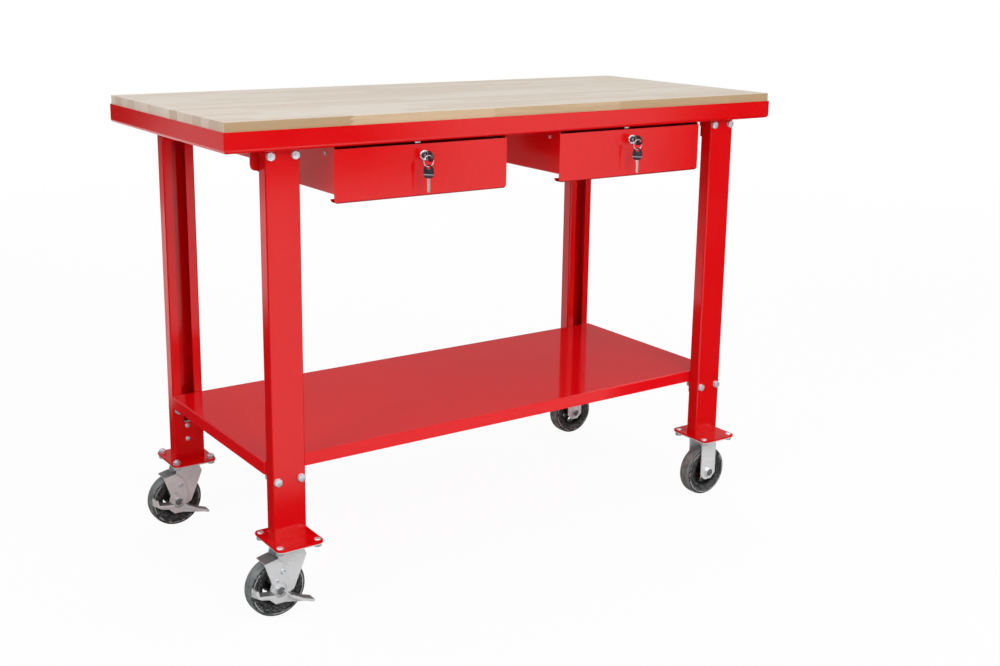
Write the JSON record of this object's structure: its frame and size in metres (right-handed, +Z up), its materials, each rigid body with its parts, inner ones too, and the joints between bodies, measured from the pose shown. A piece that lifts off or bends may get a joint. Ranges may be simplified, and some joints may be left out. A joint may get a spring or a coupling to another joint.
{
  "type": "mobile workbench",
  "caption": "Steel-framed mobile workbench with a wooden worktop, two lockable drawers under it, a lower shelf, and swivel and fixed casters.",
  "frame": {"origin": "on the floor below the centre of the worktop", "axes": "+X along the bench, towards the end with the fixed casters; -Y to the front with the drawers; +Z up"},
  "size_m": [1.5, 0.7166, 1.075],
  "materials": {
    "butcher_block": "oiled finger-jointed hardwood strips",
    "red_frame": "glossy red powder coat with a fine orange peel",
    "red_shelf": "very glossy smooth red powder coat",
    "red_drawer": "glossy red powder coat with a fine speckle",
    "zinc_steel": "galvanised pressed steel",
    "bright_zinc": "bright zinc plate",
    "lock_chrome": "polished chrome",
    "key_black": "black moulded head",
    "tyre_rubber": "dark grey rubber",
    "hub_black": "black cast hub"
  },
  "bodies": {
    "root": {"worktop": "butcher_block", "rim_front": "red_frame", "rim_rear": "red_frame", "rim_ends": "red_frame", "top_cross_rails": "red_frame", "leg_front_left": "red_frame", "leg_front_right": "red_frame", "leg_rear_left": "red_frame", "leg_rear_right": "red_frame", "foot_plates": "red_frame", "top_brackets": "red_frame", "shelf_brackets": "red_frame", "clamp_plates": "zinc_steel", "frame_bolts": "bright_zinc", "frame_nuts": "bright_zinc", "lower_shelf": "red_shelf", "drawer_case_left": "red_drawer", "drawer_case_right": "red_drawer", "worktop_screws": "bright_zinc", "case_screws": "bright_zinc", "slides_outer": "zinc_steel", "caster_bolts": "bright_zinc", "caster_nuts": "bright_zinc", "swivel_plates": "zinc_steel", "rigid_forks": "zinc_steel", "rigid_axles": "bright_zinc"},
    "drawer_left": {"drawer_tray_left": "red_drawer", "drawer_front_left": "red_drawer", "slide_inner_left": "zinc_steel", "lock_barrel_left": "lock_chrome"},
    "slide_left": {"slide_middle_left": "zinc_steel"},
    "lock_left": {"lock_plug_left": "lock_chrome", "lock_cam_left": "lock_chrome", "key_left": "key_black"},
    "ring_left": {"key_ring_left": "bright_zinc"},
    "spare_left": {"spare_key_left": "key_black"},
    "drawer_right": {"drawer_tray_right": "red_drawer", "drawer_front_right": "red_drawer", "slide_inner_right": "zinc_steel", "lock_barrel_right": "lock_chrome"},
    "slide_right": {"slide_middle_right": "zinc_steel"},
    "lock_right": {"lock_plug_right": "lock_chrome", "lock_cam_right": "lock_chrome", "key_right": "key_black"},
    "ring_right": {"key_ring_right": "bright_zinc"},
    "spare_right": {"spare_key_right": "key_black"},
    "swivel_front_left": {"swivel_fork_front_left": "zinc_steel", "axle_front_left": "bright_zinc"},
    "brake_front_left": {"brake_front_left": "zinc_steel"},
    "wheel_front_left": {"wheel_hub_front_left": "hub_black", "tyre_front_left": "tyre_rubber"},
    "wheel_front_right": {"wheel_hub_front_right": "hub_black", "tyre_front_right": "tyre_rubber"},
    "swivel_rear_left": {"swivel_fork_rear_left": "zinc_steel", "axle_rear_left": "bright_zinc"},
    "brake_rear_left": {"brake_rear_left": "zinc_steel"},
    "wheel_rear_left": {"wheel_hub_rear_left": "hub_black", "tyre_rear_left": "tyre_rubber"},
    "wheel_rear_right": {"wheel_hub_rear_right": "hub_black", "tyre_rear_right": "tyre_rubber"}
  },
  "joints": [
    {"name": "drawer_left_slide", "type": "slide", "parent": "root", "child": "drawer_left", "axis": [0, -1, 0], "range_m": [0, 0.28]},
    {"name": "slide_left_travel", "type": "slide", "parent": "root", "child": "slide_left", "axis": [0, -1, 0], "range_m": [0, 0.14]},
    {"name": "lock_left_turn", "type": "hinge", "parent": "drawer_left", "child": "lock_left", "pos_m": [-0.292, -0.322, 0.982], "axis": [0, 1, 0], "range_deg": [0, 90]},
    {"name": "ring_left_hang", "type": "hinge", "parent": "lock_left", "child": "ring_left", "pos_m": [-0.292, -0.3538, 0.982], "axis": [0, 1, 0], "range_deg": [-90, 0]},
    {"name": "spare_key_left_swing", "type": "hinge", "parent": "ring_left", "child": "spare_left", "pos_m": [-0.30049, -0.3538, 0.96152], "axis": [-1, 0, 0], "range_deg": [-8, 50]},
    {"name": "drawer_right_slide", "type": "slide", "parent": "root", "child": "drawer_right", "axis": [0, -1, 0], "range_m": [0, 0.28]},
    {"name": "slide_right_travel", "type": "slide", "parent": "root", "child": "slide_right", "axis": [0, -1, 0], "range_m": [0, 0.14]},
    {"name": "lock_right_turn", "type": "hinge", "parent": "drawer_right", "child": "lock_right", "pos_m": [0.292, -0.322, 0.982], "axis": [0, 1, 0], "range_deg": [0, 90]},
    {"name": "ring_right_hang", "type": "hinge", "parent": "lock_right", "child": "ring_right", "pos_m": [0.292, -0.3538, 0.982], "axis": [0, 1, 0], "range_deg": [-90, 0]},
    {"name": "spare_key_right_swing", "type": "hinge", "parent": "ring_right", "child": "spare_right", "pos_m": [0.28352, -0.3538, 0.96152], "axis": [-1, 0, 0], "range_deg": [-8, 50]},
    {"name": "swivel_front_left_turn", "type": "hinge", "parent": "root", "child": "swivel_front_left", "pos_m": [-0.6125, -0.289, 0.15], "axis": [0, 0, 1], "continuous": true},
    {"name": "brake_front_left_press", "type": "hinge", "parent": "swivel_front_left", "child": "brake_front_left", "pos_m": [-0.6415, -0.289, 0.1075], "axis": [0, -1, 0], "range_deg": [0, 5]},
    {"name": "wheel_front_left_roll", "type": "hinge", "parent": "swivel_front_left", "child": "wheel_front_left", "pos_m": [-0.6485, -0.289, 0.066], "axis": [0, 1, 0], "continuous": true},
    {"name": "wheel_front_right_roll", "type": "hinge", "parent": "root", "child": "wheel_front_right", "pos_m": [0.6125, -0.289, 0.066], "axis": [0, 1, 0], "continuous": true},
    {"name": "swivel_rear_left_turn", "type": "hinge", "parent": "root", "child": "swivel_rear_left", "pos_m": [-0.6125, 0.289, 0.15], "axis": [0, 0, 1], "continuous": true},
    {"name": "brake_rear_left_press", "type": "hinge", "parent": "swivel_rear_left", "child": "brake_rear_left", "pos_m": [-0.6415, 0.289, 0.1075], "axis": [0, -1, 0], "range_deg": [0, 5]},
    {"name": "wheel_rear_left_roll", "type": "hinge", "parent": "swivel_rear_left", "child": "wheel_rear_left", "pos_m": [-0.6485, 0.289, 0.066], "axis": [0, 1, 0], "continuous": true},
    {"name": "wheel_rear_right_roll", "type": "hinge", "parent": "root", "child": "wheel_rear_right", "pos_m": [0.6125, 0.289, 0.066], "axis": [0, 1, 0], "continuous": true}
  ],
  "couplings": [
    {"joint": "slide_left_travel", "follows": "drawer_left_slide", "ratio": 0.5},
    {"joint": "ring_left_hang", "follows": "lock_left_turn", "ratio": -1},
    {"joint": "slide_right_travel", "follows": "drawer_right_slide", "ratio": 0.5},
    {"joint": "ring_right_hang", "follows": "lock_right_turn", "ratio": -1}
  ]
}
